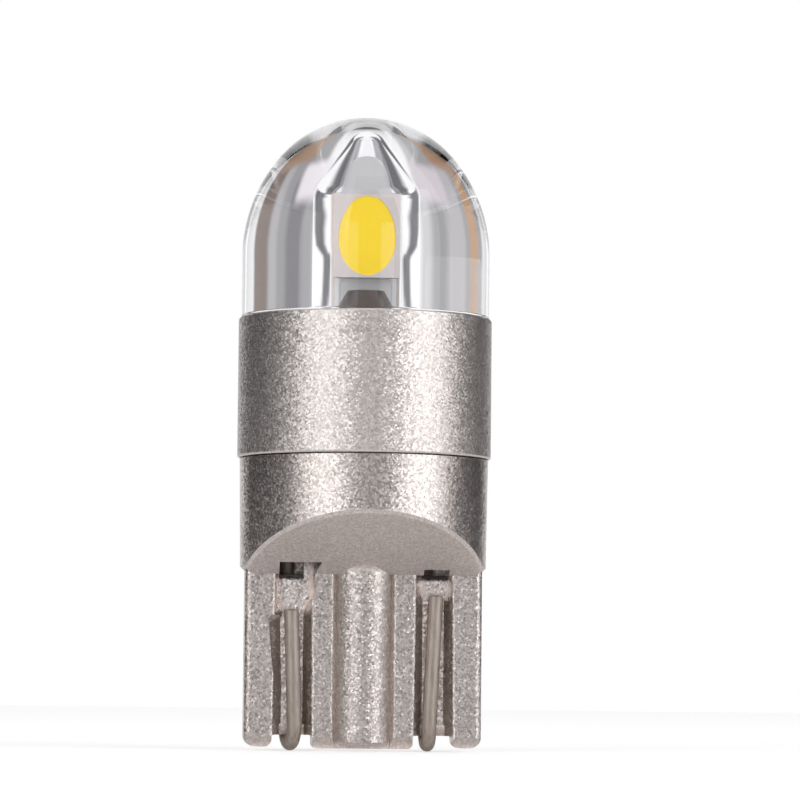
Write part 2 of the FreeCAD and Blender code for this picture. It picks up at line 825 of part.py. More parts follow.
def main():
    os.makedirs("parts", exist_ok=True)
    save("lens", lens())
    save("heat_sink_sleeve", heat_sink_sleeve())
    save("wedge_base", wedge_base())
    save("circuit_board", circuit_board())
    save("board_adhesive", board_adhesive())

    raised = FreeCAD.Vector(0, 0, led_centre_height)
    for name, make in (
        ("led_housing", led_housing),
        ("led_phosphor", led_phosphor),
        ("led_chip", led_chip),
        ("led_solder", led_solder),
    ):
        piece = facing_front(make())
        piece.translate(raised)
        save(name + "_front", piece)
        save(name + "_rear", half_turn(piece))

    left = contact_wire(left_wire_front_top, left_wire_front_bottom, left_wire_rear,
                        left_wire_end_drop)
    right = contact_wire(right_wire_front_top, right_wire_front_bottom, right_wire_rear,
                         right_wire_end_drop)
    save("contact_wire_left", left)
    save("contact_wire_right", right)
    save("solder_joint_left", solder_joint(left_wire_rear, left))
    save("solder_joint_right", solder_joint(right_wire_rear, right))

    for names, pieces in (
        (("rectifier_body", "rectifier_leads"), rectifier()),
        (("driver_chip_body", "driver_chip_leads"), driver_chip()),
        (("sense_resistor", "resistor_terminals"), chip_component(
            resistor_width, resistor_length, resistor_thickness, resistor_terminal,
            FreeCAD.Vector(resistor_side, 0, board_foot_height + resistor_rise), True)),
        (("capacitor", "capacitor_terminals"), chip_component(
            capacitor_width, capacitor_length, capacitor_thickness, capacitor_terminal,
            FreeCAD.Vector(0, 0, board_foot_height + capacitor_rise), False)),
    ):
        for name, piece in zip(names, pieces):
            save(name, piece)


main()
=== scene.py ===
import math
import bpy
import numpy as np
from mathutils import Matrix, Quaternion, Vector


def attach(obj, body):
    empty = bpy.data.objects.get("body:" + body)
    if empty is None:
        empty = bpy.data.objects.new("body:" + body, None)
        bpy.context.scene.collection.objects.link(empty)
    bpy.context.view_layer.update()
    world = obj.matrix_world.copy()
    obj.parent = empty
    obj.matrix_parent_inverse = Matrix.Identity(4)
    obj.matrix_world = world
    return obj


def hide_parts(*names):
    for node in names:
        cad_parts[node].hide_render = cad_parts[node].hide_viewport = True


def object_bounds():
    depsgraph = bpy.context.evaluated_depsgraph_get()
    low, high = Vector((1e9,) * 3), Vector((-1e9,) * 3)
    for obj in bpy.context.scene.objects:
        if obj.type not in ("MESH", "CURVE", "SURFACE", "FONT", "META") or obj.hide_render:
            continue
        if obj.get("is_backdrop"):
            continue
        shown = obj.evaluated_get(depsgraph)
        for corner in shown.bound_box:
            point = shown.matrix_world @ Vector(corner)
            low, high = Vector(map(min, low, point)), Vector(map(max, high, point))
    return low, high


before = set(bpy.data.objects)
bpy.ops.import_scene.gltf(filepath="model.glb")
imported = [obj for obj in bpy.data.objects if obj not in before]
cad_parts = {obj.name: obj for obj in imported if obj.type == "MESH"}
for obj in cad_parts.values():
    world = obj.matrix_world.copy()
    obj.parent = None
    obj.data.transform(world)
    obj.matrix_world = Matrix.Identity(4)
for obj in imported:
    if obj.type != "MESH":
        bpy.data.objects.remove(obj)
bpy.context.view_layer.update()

# ---- Clear lens ----
# The lens is one clear acrylic moulding: a tall dome over a short wall, with a flange that sits on
# the sleeve's rim, a spigot inside it and a blind round cavity for the board.
# It comes polished from its mould, so only its edges and the bent view through it show.

# Sizes are in millimetres, with heights from the bulb's foot; MM turns them into metres.
MM = 0.001


def linear(code):
    """Linear red, green and blue of an sRGB hex colour, with an alpha of one."""
    shares = np.array([int(code[i:i + 2], 16) for i in (1, 3, 5)]) / 255
    low = shares / 12.92
    high = ((shares + 0.055) / 1.055) ** 2.4
    return (*np.where(shares <= 0.04045, low, high).tolist(), 1.0)


def feed(node, **inputs):
    """Feed a node's inputs, by name or as _0: a socket is linked, and any other value is set."""
    for name, value in inputs.items():
        key = int(name[1:]) if name[1:].isdigit() else name.replace("_", " ")
        if isinstance(value, bpy.types.NodeSocket):
            node.id_data.links.new(value, node.inputs[key])
        else:
            node.inputs[key].default_value = value


def add_node(tree, kind, settings=(), **inputs):
    """Add a node of a kind with its settings, and feed its inputs."""
    node = tree.nodes.new(kind)
    for name, value in dict(settings).items():
        setattr(node, name, value)
    feed(node, **inputs)
    return node


def new_material(name, **inputs):
    """Material with its shader's inputs fed, returned with its tree and that shader."""
    material = bpy.data.materials.new(name)
    material.use_nodes = True
    shader = material.node_tree.nodes["Principled BSDF"]
    feed(shader, **inputs)
    return material, material.node_tree, shader


def unit(arrows):
    """Arrows scaled to a length of one."""
    return arrows / np.linalg.norm(arrows, axis=-1, keepdims=True)


def rounded(corners, steps=8):
    """Profile through (radius, height, rounding) corners.

    Each rounding is an arc tangent to both sides: even steps along its chord, each pushed out from
    the arc's centre to its radius.
    """
    points = []
    for index, (radius, height, rounding) in enumerate(corners):
        corner = np.array([radius, height])
        if rounding == 0:
            points.append(corner)
            continue
        back = unit(np.array(corners[index - 1][:2]) - corner)
        onward = unit(np.array(corners[(index + 1) % len(corners)][:2]) - corner)
        half_angle = math.acos(np.clip(back @ onward, -1, 1)) / 2
        reach = rounding / math.tan(half_angle)
        centre = corner + unit(back + onward) * rounding / math.sin(half_angle)
        start = corner + back * reach - centre
        end = corner + onward * reach - centre
        share = np.linspace(0, 1, steps)[:, None]
        points += list(centre + unit(start * (1 - share) + end * share) * rounding)
    return np.array(points)


def link_mesh(name, points, faces, material, smooth_angle=30):
    """Object of a mesh given in millimetres, with its faces smooth up to the angle."""
    mesh = bpy.data.meshes.new(name)
    mesh.from_pydata((points * MM).tolist(), [], faces)
    mesh.polygons.foreach_set("use_smooth", np.ones(len(mesh.polygons), bool))
    mesh.set_sharp_from_angle(angle=math.radians(smooth_angle))
    mesh.materials.append(material)
    piece = bpy.data.objects.new(name, mesh)
    bpy.context.scene.collection.objects.link(piece)
    return piece


def braced(profile, width=0.03):
    """Profile with a point this far from both ends of each long run.

    The shading of a long run turns within that width, so the rest of it stays true.
    """
    run = np.diff(profile, axis=0)
    rows = [profile[:1]]
    for start, step, reach in zip(profile[:-1], run, np.linalg.norm(run, axis=1)):
        if reach > 4 * width:
            rows.append(start + step * np.array([[width / reach], [1 - width / reach]]))
        rows.append((start + step)[None])
    return np.concatenate(rows)


def turned(name, profile, material, around=256, closed=False):
    """Surface of revolution of (radius, height) rows: x = r cos t, y = r sin t, z = h.

    A row on the axis is one pole, and a closed profile joins its last row to its first.
    """
    angle = np.linspace(0, 2 * math.pi, around, endpoint=False)
    starts = []
    rings = []
    count = 0
    for radius, height in braced(profile):
        if radius < 1e-6:
            ring = np.array([[0.0, 0.0, height]])
        else:
            ring = np.stack([radius * np.cos(angle), radius * np.sin(angle),
                             np.full(around, height)], 1)
        starts.append((count, len(ring)))
        rings.append(ring)
        count += len(ring)
    pairs = list(zip(starts, starts[1:]))
    if closed:
        pairs.append((starts[-1], starts[0]))
    columns = np.arange(around)
    following = (columns + 1) % around
    faces = []
    for (low, low_size), (high, high_size) in pairs:
        if low_size == 1:
            corners = [np.full(around, low), high + following, high + columns]
        elif high_size == 1:
            corners = [low + columns, low + following, np.full(around, high)]
        else:
            corners = [low + columns, low + following, high + following, high + columns]
        faces += np.stack(corners, 1).tolist()
    return link_mesh(name, np.concatenate(rings), faces, material)


def dome(start_height, start_radius, height, blend_angle, steps):
    """Two tangent arcs from an upright wall to the axis.

    They meet where the normal rises by the angle, and the second has its centre on the axis.
    """
    angle = math.radians(blend_angle)
    across = math.cos(angle)
    up = math.sin(angle)
    scale = (1 - across) * (1 - up) - across * up
    side = (start_radius * (1 - up) - across * height) / scale
    tip = (height * (1 - across) - up * start_radius) / scale
    low = np.linspace(0, angle, steps)[1:]
    high = np.linspace(angle, math.pi / 2, steps)[1:]
    radii = np.concatenate([start_radius - side * (1 - np.cos(low)), tip * np.cos(high)])
    heights = np.concatenate([start_height + side * np.sin(low),
                              start_height + height - tip * (1 - np.sin(high))])
    radii[-1] = 0
    return np.stack([radii, heights], 1)


LENS_FOOT = 15.95
LENS_SPIGOT_RADIUS = 4.3
LENS_SPIGOT_ROUNDING = 0.1
LENS_RIM = 17.01
LENS_FLANGE_RADIUS = 4.93
LENS_FLANGE_EDGE = 0.06
LENS_WALL_RADIUS = 4.9
LENS_WALL_TOP = 19.45
LENS_DOME_HEIGHT = 5.55
LENS_BLEND_ANGLE = 40
CAVITY_MOUTH_RADIUS = 2.1
CAVITY_MOUTH_TOP = 17.0
CAVITY_MOUTH_ROUNDING = 0.3
CAVITY_RADIUS = 1.42
CAVITY_WALL_TOP = 21.4
CAVITY_SHOULDER_ROUNDING = 0.8
CAVITY_TIP = 23.26
CAVITY_TIP_RADIUS = 0.3
CAVITY_TIP_ROUNDING = 0.5

# Clear acrylic: no colour of its own, a moulded polish, and the index of acrylic.
clear_acrylic, tree, shader = new_material(
    "clear_acrylic_polished", Base_Color=linear("#fdfdff"), Roughness=0.0, IOR=1.49,
    Transmission_Weight=1.0)

lens_cavity = rounded([
    (0, CAVITY_TIP, 0),
    (CAVITY_TIP_RADIUS, CAVITY_TIP, CAVITY_TIP_ROUNDING),
    (CAVITY_RADIUS, CAVITY_WALL_TOP, CAVITY_SHOULDER_ROUNDING),
    (CAVITY_RADIUS, CAVITY_MOUTH_TOP, CAVITY_MOUTH_ROUNDING),
    (CAVITY_MOUTH_RADIUS, LENS_FOOT, 0),
], steps=16)
lens_outside = rounded([
    (CAVITY_MOUTH_RADIUS, LENS_FOOT, 0),
    (LENS_SPIGOT_RADIUS, LENS_FOOT, LENS_SPIGOT_ROUNDING),
    (LENS_SPIGOT_RADIUS, LENS_RIM, 0),
    (LENS_FLANGE_RADIUS, LENS_RIM, 0),
    (LENS_WALL_RADIUS, LENS_RIM + LENS_FLANGE_EDGE, 0),
    (LENS_WALL_RADIUS, LENS_WALL_TOP, 0),
])
lens_dome = dome(LENS_WALL_TOP, LENS_WALL_RADIUS, LENS_DOME_HEIGHT, LENS_BLEND_ANGLE, steps=40)
lens_profile = np.concatenate([lens_cavity, lens_outside[1:], lens_dome])
clear_lens = turned("clear_lens", lens_profile, clear_acrylic, around=320)
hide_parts("lens")
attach(clear_lens, "root")

# ---- Metal sleeve and deck ----
# The sleeve is turned from aluminium tube and bead blasted, so it has a fine bright grain.
# A turned deck with a slot for the board closes it inside, below the lens.

SLEEVE_FOOT = 11.48
SLEEVE_RIM = 17.0
SLEEVE_RADIUS = 5.0
SLEEVE_EDGE = 0.09
SLEEVE_BORE_RADIUS = 4.35
SLEEVE_BORE_EDGE = 0.05
DECK_FOOT = 14.9
DECK_TOP = 15.9
DECK_SLOT_HALF_WIDTH = 1.05
DECK_SLOT_HALF_DEPTH = 0.4


def grained(name, light, dark, grain, pit, tilt, roughness):
    """Metal finish of small cells, each leaning its own way, so that they catch the light in turn.

    A cell's random colour, less a half and times the tilt, is added to the surface's normal, and
    picks the tone. A noise of pits 0.005 mm deep makes the roughness vary by 0.03 both ways.
    """
    material, tree, shader = new_material(name, Metallic=1.0)
    place = add_node(tree, "ShaderNodeTexCoord")
    cells = add_node(tree, "ShaderNodeTexVoronoi", Vector=place.outputs["Object"],
                     Scale=1 / (grain * MM))
    lean = add_node(tree, "ShaderNodeVectorMath", {"operation": "SUBTRACT"},
                    _0=cells.outputs["Color"], _1=(0.5, 0.5, 0.5))
    lean = add_node(tree, "ShaderNodeVectorMath", {"operation": "SCALE", "name": "lean_of_grains"},
                    _0=lean.outputs[0], Scale=tilt)
    surface = add_node(tree, "ShaderNodeNewGeometry")
    tilted = add_node(tree, "ShaderNodeVectorMath", {"operation": "ADD"},
                      _0=surface.outputs["Normal"], _1=lean.outputs[0])
    normal = add_node(tree, "ShaderNodeVectorMath", {"operation": "NORMALIZE"},
                      _0=tilted.outputs[0])
    pits = add_node(tree, "ShaderNodeTexNoise", Vector=place.outputs["Object"],
                    Scale=1 / (pit * MM), Detail=3.0, Roughness=0.6)
    bump = add_node(tree, "ShaderNodeBump", Height=pits.outputs["Fac"], Distance=0.005 * MM,
                    Strength=1.0, Normal=normal.outputs[0])
    colour = add_node(tree, "ShaderNodeMix", {"data_type": "RGBA", "name": "colour_of_grains"},
                      _0=cells.outputs["Color"], _6=linear(dark), _7=linear(light))
    gloss = add_node(tree, "ShaderNodeMapRange", {"name": "roughness_of_pits"},
                     Value=pits.outputs["Fac"], From_Min=0.3, From_Max=0.7,
                     To_Min=roughness + 0.03, To_Max=roughness - 0.03)
    feed(shader, Base_Color=colour.outputs[2], Roughness=gloss.outputs[0], Normal=bump.outputs[0])
    return material


# Bead-blasted aluminium: a soft silver that sparkles. The dents of the real beads are about
# 0.03 mm wide, too fine to show, so they are drawn twice as wide.
blasted_aluminium = grained("bead_blasted_aluminium", "#e6e0dd", "#c9c0bc",
                            grain=0.065, pit=0.3, tilt=0.3, roughness=0.41)
sleeve_profile = rounded([
    (SLEEVE_BORE_RADIUS, SLEEVE_FOOT, SLEEVE_BORE_EDGE),
    (SLEEVE_RADIUS, SLEEVE_FOOT, SLEEVE_EDGE),
    (SLEEVE_RADIUS, SLEEVE_RIM, SLEEVE_EDGE),
    (SLEEVE_BORE_RADIUS, SLEEVE_RIM, SLEEVE_BORE_EDGE),
])
blasted_sleeve = turned("blasted_sleeve", sleeve_profile, blasted_aluminium, closed=True)
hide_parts("heat_sink_sleeve")
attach(blasted_sleeve, "root")


def plate_with_slot(name, radius, half_width, half_depth, low, high, material, around=128):
    """Round plate with a four-sided slot.

    At each angle t the outer ring is at the radius, and the slot's edge is where the ray at t
    meets it: at 1 / max(|cos t| / half width, |sin t| / half depth).
    """
    angle = np.linspace(0, 2 * math.pi, around, endpoint=False)
    ray = np.stack([np.cos(angle), np.sin(angle)], 1)
    outer = radius * ray
    inner = ray / np.max(np.abs(ray) / (half_width, half_depth), axis=1)[:, None]
    rings = [np.column_stack([ring, np.full(around, height)])
             for ring, height in ((inner, low), (outer, low), (outer, high), (inner, high))]
    columns = np.arange(around)
    following = (columns + 1) % around
    faces = []
    for row in range(4):
        first = row * around
        second = (row + 1) % 4 * around
        faces += np.stack([first + columns, first + following, second + following,
                           second + columns], 1).tolist()
    return link_mesh(name, np.concatenate(rings), faces, material)


# Turned aluminium, which the blasting doesn't reach: brighter, with fine turning lines. The wave
# texture's own rings are 0.314 apart, so its scale sets them 0.1 mm apart.
turned_aluminium, tree, shader = new_material("turned_aluminium_deck", Metallic=1.0, Roughness=0.4)
place = add_node(tree, "ShaderNodeTexCoord")
lines = add_node(tree, "ShaderNodeTexWave", {"wave_type": "RINGS", "rings_direction": "Z"},
                 Vector=place.outputs["Object"], Scale=0.314 / (0.1 * MM), Distortion=0.2)
colour = add_node(tree, "ShaderNodeMix", {"data_type": "RGBA"},
                  _0=lines.outputs["Fac"], _6=linear("#f6f6f6"), _7=linear("#ecebea"))
bump = add_node(tree, "ShaderNodeBump", Height=lines.outputs["Fac"], Distance=0.002 * MM,
                Strength=1.0)
feed(shader, Base_Color=colour.outputs[2], Normal=bump.outputs[0])
sleeve_deck = plate_with_slot("sleeve_deck", SLEEVE_BORE_RADIUS, DECK_SLOT_HALF_WIDTH,
                              DECK_SLOT_HALF_DEPTH, DECK_FOOT, DECK_TOP, turned_aluminium)
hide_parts("heat_sink_sleeve")
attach(sleeve_deck, "root")

# ---- Wedge cap ----
# The cap is one plastic moulding with a silver metallic coat: a round cup with two slanted faces
# under it, and the flat blade with its slots, pads, ribs and round ridges.

BLADE_TOP = 6.9
BLADE_FACE = 0.95
SLOT_FACE = 0.8
COAT_BLEND = 0.2
# Painted light in the blade's slots and painted shade on its outer faces, as factors on the coat's
# colour.
SLOT_PAINTED_LIGHT = 1.25
FACE_PAINTED_SHADE = 0.88
CUP_TILT = 0.2
BLADE_TILT = 0.42
SLANT_TILT = 0.05
BLADE_ROUGHER = 0.06
SLANT_ROUGHER = 0.3


def dressed_copy(name, node, material, smooth_angle, weld=2e-7):
    """Copy of a CAD node with its loose triangles joined and its curved faces made smooth.

    Corners that round to the same multiple of the weld distance, in metres, become one.
    """
    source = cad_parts[node].data
    points = np.zeros(len(source.vertices) * 3, np.float32)
    source.vertices.foreach_get("co", points)
    points = points.reshape(-1, 3)
    keys = np.rint(points / weld).astype(np.int64)
    first, merged = np.unique(keys, axis=0, return_index=True, return_inverse=True)[1:]
    corners = np.zeros(len(source.loops), np.int32)
    source.loops.foreach_get("vertex_index", corners)
    triangles = merged.reshape(-1)[corners].reshape(-1, 3)
    sound = np.all(triangles != np.roll(triangles, 1, axis=1), axis=1)
    return link_mesh(name, points[first] / MM, triangles[sound].tolist(), material, smooth_angle)


# Silver metallic coat on moulded plastic: its flakes lie calm on the cup and almost flat on the
# slanted faces, which look plain, and stand up on the blade, which sparkles coarsely. Painted light
# makes it lighter in the blade's slots, where shade falls, and painted shade makes it darker on its
# outer faces. Real flakes are about 0.03 mm wide, too fine to show, so they are drawn twice as
# wide.
metallic_coat = grained("silver_metallic_coat", "#e4dcd8", "#bfb5b0",
                        grain=0.07, pit=0.3, tilt=CUP_TILT, roughness=0.31)
tree = metallic_coat.node_tree
place = add_node(tree, "ShaderNodeTexCoord")
height = add_node(tree, "ShaderNodeSeparateXYZ", Vector=place.outputs["Object"])
blade = add_node(tree, "ShaderNodeMapRange", Value=height.outputs["Z"],
                 From_Min=(BLADE_TOP + COAT_BLEND) * MM, From_Max=(BLADE_TOP - COAT_BLEND) * MM)
# Painted light and shade: the colour is lifted near the blade's middle plane, in the slots, and
# darkened out at its outer faces.
depth = add_node(tree, "ShaderNodeMath", {"operation": "ABSOLUTE"}, _0=height.outputs["Y"])
painted_light_and_shade = add_node(tree, "ShaderNodeMapRange", Value=depth.outputs[0], From_Min=SLOT_FACE * MM,
                From_Max=BLADE_FACE * MM, To_Min=SLOT_PAINTED_LIGHT, To_Max=FACE_PAINTED_SHADE)
painted_light_and_shade = add_node(tree, "ShaderNodeMix", _0=blade.outputs[0], _2=1.0, _3=painted_light_and_shade.outputs[0])
painted_light_and_shade = add_node(tree, "ShaderNodeVectorMath", {"operation": "SCALE"},
                _0=tree.nodes["colour_of_grains"].outputs[2], Scale=painted_light_and_shade.outputs[0])
surface = add_node(tree, "ShaderNodeNewGeometry")
facing = add_node(tree, "ShaderNodeSeparateXYZ", Vector=surface.outputs["Normal"])
slant = add_node(tree, "ShaderNodeMapRange", Value=facing.outputs["Z"],
                 From_Min=-0.1, From_Max=-0.4)
lean = add_node(tree, "ShaderNodeMapRange", Value=blade.outputs[0],
                To_Min=CUP_TILT, To_Max=BLADE_TILT)
lean = add_node(tree, "ShaderNodeMix", _0=slant.outputs[0], _2=lean.outputs[0], _3=SLANT_TILT)
feed(tree.nodes["lean_of_grains"], Scale=lean.outputs[0])
rough = add_node(tree, "ShaderNodeMath", {"operation": "MULTIPLY_ADD"}, _0=blade.outputs[0],
                 _1=BLADE_ROUGHER, _2=tree.nodes["roughness_of_pits"].outputs[0])
rough = add_node(tree, "ShaderNodeMath", {"operation": "MULTIPLY_ADD"}, _0=slant.outputs[0],
                 _1=SLANT_ROUGHER, _2=rough.outputs[0])
feed(tree.nodes["Principled BSDF"], Base_Color=painted_light_and_shade.outputs[0], Roughness=rough.outputs[0])
wedge_cap = dressed_copy("wedge_cap", "wedge_base", metallic_coat, smooth_angle=20)
# The large flat faces keep their own normals, so no roundness spreads over them.
flat_faces = wedge_cap.modifiers.new("flat_faces_stay_flat", "WEIGHTED_NORMAL")
flat_faces.weight = 90
flat_faces.keep_sharp = True
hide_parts("wedge_base")
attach(wedge_cap, "root")

# ---- Contact wires ----
# Each is a stiff tinned copper wire: its free end lies in a front slot, it bends round the web's
# lower edge and runs up the rear slot into the cap.

WIRE_RADIUS = 0.29
WIRE_OFFSET = 0.75
WIRE_REAR_TOP = 9.45
WIRE_EDGE = 0.05


def wire_path(front_top, front_bottom, rear, end_height, steps=20):
    """Centreline: straight front run, half a turn in a circle under the web, straight rear run.

    In the half turn y = -d cos t and z = r + d - d sin t, while x passes from front to rear as
    (1 - cos t) / 2 does; d is the wire's offset and r its radius.
    """
    turn = np.linspace(0, math.pi, steps)
    bend = np.stack([
        front_bottom + (rear - front_bottom) * (1 - np.cos(turn)) / 2,
        -WIRE_OFFSET * np.cos(turn),
        WIRE_RADIUS + WIRE_OFFSET - WIRE_OFFSET * np.sin(turn),
    ], 1)
    front = np.array([[front_top, -WIRE_OFFSET, end_height]])
    rear_end = np.array([[rear, WIRE_OFFSET, WIRE_REAR_TOP]])
    return np.concatenate([front, bend, rear_end])


def tube(name, path, radius, edge, material, around=24, edge_steps=5):
    """Round profile carried along a path, square to it.

    At both ends the profile closes in by a quarter circle of the edge's size, to a flat end.
    """
    tangent = unit(np.gradient(path, axis=0))
    side = unit(np.array([1.0, 0.0, 0.0]) - tangent[:, :1] * tangent)
    other = np.cross(tangent, side)
    turn = np.linspace(0, math.pi / 2, edge_steps)
    along = edge * (1 - np.cos(turn))[:, None]
    shrink = edge * (1 - np.sin(turn))
    last = len(path) - 1
    centres = np.concatenate([
        path[0] + tangent[0] * along,
        path[1:-1],
        path[-1] - tangent[-1] * along[::-1],
    ])
    radii = radius - np.concatenate([shrink, np.zeros(last - 1), shrink[::-1]])
    row_of = np.concatenate([np.zeros(edge_steps, int), np.arange(1, last),
                             np.full(edge_steps, last)])
    angle = np.linspace(0, 2 * math.pi, around, endpoint=False)[None, :, None]
    ring = side[row_of][:, None] * np.cos(angle) + other[row_of][:, None] * np.sin(angle)
    points = (centres[:, None] + ring * radii[:, None, None]).reshape(-1, 3)
    columns = np.arange(around)
    following = (columns + 1) % around
    faces = [columns[::-1].tolist()]
    for row in range(len(centres) - 1):
        first = row * around
        faces += np.stack([first + columns, first + following, first + around + following,
                           first + around + columns], 1).tolist()
    faces.append(((len(centres) - 1) * around + columns).tolist())
    return link_mesh(name, points, faces, material, smooth_angle=40)


# Tinned copper wire: a warm satin grey, browner where the tin has worn. Its drawing lines are
# 0.12 mm wide and eight times as long.
tinned_copper, tree, shader = new_material("tinned_copper_wire", Metallic=1.0, Roughness=0.55)
place = add_node(tree, "ShaderNodeTexCoord")
streaks = add_node(tree, "ShaderNodeMapping", Vector=place.outputs["Object"],
                   Scale=(1.0, 1.0, 0.12))
noise = add_node(tree, "ShaderNodeTexNoise", Vector=streaks.outputs[0], Scale=1 / (0.12 * MM),
                 Detail=3.0, Roughness=0.6)
worn = add_node(tree, "ShaderNodeMapRange", Value=noise.outputs["Fac"],
                From_Min=0.45, From_Max=0.75)
colour = add_node(tree, "ShaderNodeMix", {"data_type": "RGBA"}, _0=worn.outputs[0],
                  _6=linear("#aea49c"), _7=linear("#94867c"))
bump = add_node(tree, "ShaderNodeBump", Height=noise.outputs["Fac"], Distance=0.008 * MM,
                Strength=1.0)
feed(shader, Base_Color=colour.outputs[2], Normal=bump.outputs[0])

# Each row gives x at the free end, at the bend's front and at the rear, and the free end's height.
for side, front_top, front_bottom, rear, end_height in (
    ("left", -2.82, -2.66, -2.95, 5.5),
    ("right", 2.84, 2.62, 2.56, 6.1),
):
    path = wire_path(front_top, front_bottom, rear, end_height)
    wire = tube("wire_" + side, path, WIRE_RADIUS, WIRE_EDGE, tinned_copper)
    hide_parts("contact_wire_" + side)
    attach(wire, "root")

# ---- Circuit board ----
# The board is a glass-fibre laminate under white solder mask, with a narrow neck that stands in
# the lens and a wide foot inside the cap.


def mottled(name, light, dark, size, roughness, depth, **inputs):
    """Plain finish with a faint cloud of two tones and a fine unevenness, both from one noise.

    The noise's size and the unevenness's depth are in millimetres.
    """
    material, tree, shader = new_material(name, Roughness=roughness, **inputs)
    place = add_node(tree, "ShaderNodeTexCoord")
    noise = add_node(tree, "ShaderNodeTexNoise", Vector=place.outputs["Object"],
                     Scale=1 / (size * MM), Detail=3.0, Roughness=0.6)
    colour = add_node(tree, "ShaderNodeMix", {"data_type": "RGBA"}, _0=noise.outputs["Fac"],
                      _6=linear(light), _7=linear(dark))
    bump = add_node(tree, "ShaderNodeBump", Height=noise.outputs["Fac"], Distance=depth * MM,
                    Strength=1.0)
    feed(shader, Base_Color=colour.outputs[2], Normal=bump.outputs[0])
    return material


def finish_node(node, material):
    """Give a CAD node's own mesh one finish."""
    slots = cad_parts[node].data.materials
    slots.clear()
    slots.append(material)


# White solder mask: a smooth satin coat with a faint orange peel.
solder_mask = mottled("white_solder_mask", "#dedede", "#cecece",
                      size=0.6, roughness=0.42, depth=0.01)
finish_node("circuit_board", solder_mask)

# ---- Adhesive ----
# A heap of dark brown adhesive, which has run round the board's neck and set, holds the board in
# the deck.

# Cured adhesive: dark brown, smooth and a little wet looking.
adhesive = mottled("dark_brown_adhesive", "#5c483e", "#33261f",
                   size=0.35, roughness=0.32, depth=0.03)
adhesive_heap = dressed_copy("adhesive_heap", "board_adhesive", adhesive, smooth_angle=40)
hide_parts("board_adhesive")
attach(adhesive_heap, "root")

# ---- Light-emitting diodes ----
# One package on each face of the board: a white moulded housing with an oval cup, a die on its
# floor and yellow phosphor cast over it, all on two solder lands.

# White moulding compound of the housing: bright, matte and a little warm.
white_housing = mottled("white_housing_compound", "#ebe2de", "#dfd4d0",
                        size=0.3, roughness=0.4, depth=0.004)
# Phosphor in silicone: a strong matte yellow with a fine grain. A faint glow is painted light on
# it, so it looks a little brighter than a plain yellow would.
phosphor = mottled("yellow_phosphor", "#ffe100", "#fbd300", size=0.12, roughness=0.5, depth=0.01,
                   Emission_Color=linear("#ffd800"), Emission_Strength=0.2,
                   Specular_IOR_Level=0.2)
# Die under the phosphor: polished blue-grey crystal, which doesn't show.
die = mottled("bonded_die", "#8e97ab", "#6f788c", size=0.2, roughness=0.3, depth=0.002)
# Reflowed solder: bright and smooth, as it set.
solder = mottled("reflowed_solder", "#cfcecb", "#a9a8a5", size=0.25, roughness=0.3, depth=0.01,
                 Metallic=1.0)
for side in ("front", "rear"):
    for piece, finish in (
        ("housing", white_housing),
        ("phosphor", phosphor),
        ("chip", die),
        ("solder", solder),
    ):
        finish_node("led_" + piece + "_" + side, finish)

# ---- Drive parts ----
# A bridge rectifier, a driver chip, a resistor and a capacitor sit on the board's foot inside
# the cap, with solder heaps at the wires. None of them shows from outside.

# Black moulding compound: dark, matte, a little rough from its mould.
black_compound = mottled("black_moulding_compound", "#232326", "#17171a",
                         size=0.15, roughness=0.5, depth=0.01)
# Tin plate on the leads and end caps: pale satin metal.
tin_plate = mottled("matt_tin_plate", "#d6d6d4", "#b9b9b6", size=0.2, roughness=0.35, depth=0.004,
                    Metallic=1.0)
# Glaze on the resistor: nearly black and glossy.
resistor_glaze = mottled("dark_resistor_glaze", "#1b1b20", "#26262c",
                         size=0.3, roughness=0.2, depth=0.002)
# Fired ceramic of the capacitor: tan, dense and dull.
fired_ceramic = mottled("tan_fired_ceramic", "#a98a68", "#967757",
                        size=0.2, roughness=0.45, depth=0.006)
for node, finish in (
    ("rectifier_body", black_compound),
    ("driver_chip_body", black_compound),
    ("rectifier_leads", tin_plate),
    ("driver_chip_leads", tin_plate),
    ("resistor_terminals", tin_plate),
    ("capacitor_terminals", tin_plate),
    ("sense_resistor", resistor_glaze),
    ("capacitor", fired_ceramic),
    ("solder_joint_left", solder),
    ("solder_joint_right", solder),
):
    finish_node(node, finish)

# ---- Studio ----
# A pale floor under the bulb, two soft boxes in front at left and right, and cards round it that
# only show in reflections or through the clear lens, as a photographer sets them for such a part.

# Distances in the studio are in metres.
BULB_MIDDLE = 0.0125
LENS_MIDDLE = 0.0205
FLOOR_HALF_SIZE = 0.4
FLOOR_SEEN_LIFT = 0.42
FLOOR_MIRRORED_LIFT = 0.2
WORLD_AS_LIGHT = 0.5

# Even white world: full strength where it is seen, in a mirror or through glass, less as light.
world = bpy.data.worlds.new("white_room")
bpy.context.scene.world = world
world.use_nodes = True
tree = world.node_tree
path = add_node(tree, "ShaderNodeLightPath")
seen = add_node(tree, "ShaderNodeMath", {"operation": "MAXIMUM"},
                _0=path.outputs["Is Camera Ray"], _1=path.outputs["Is Glossy Ray"])
seen = add_node(tree, "ShaderNodeMath", {"operation": "MAXIMUM"},
                _0=seen.outputs[0], _1=path.outputs["Is Transmission Ray"])
strength = add_node(tree, "ShaderNodeMapRange", Value=seen.outputs[0],
                    To_Min=WORLD_AS_LIGHT, To_Max=1.0)
feed(tree.nodes["Background"], Color=(1, 1, 1, 1), Strength=strength.outputs[0])

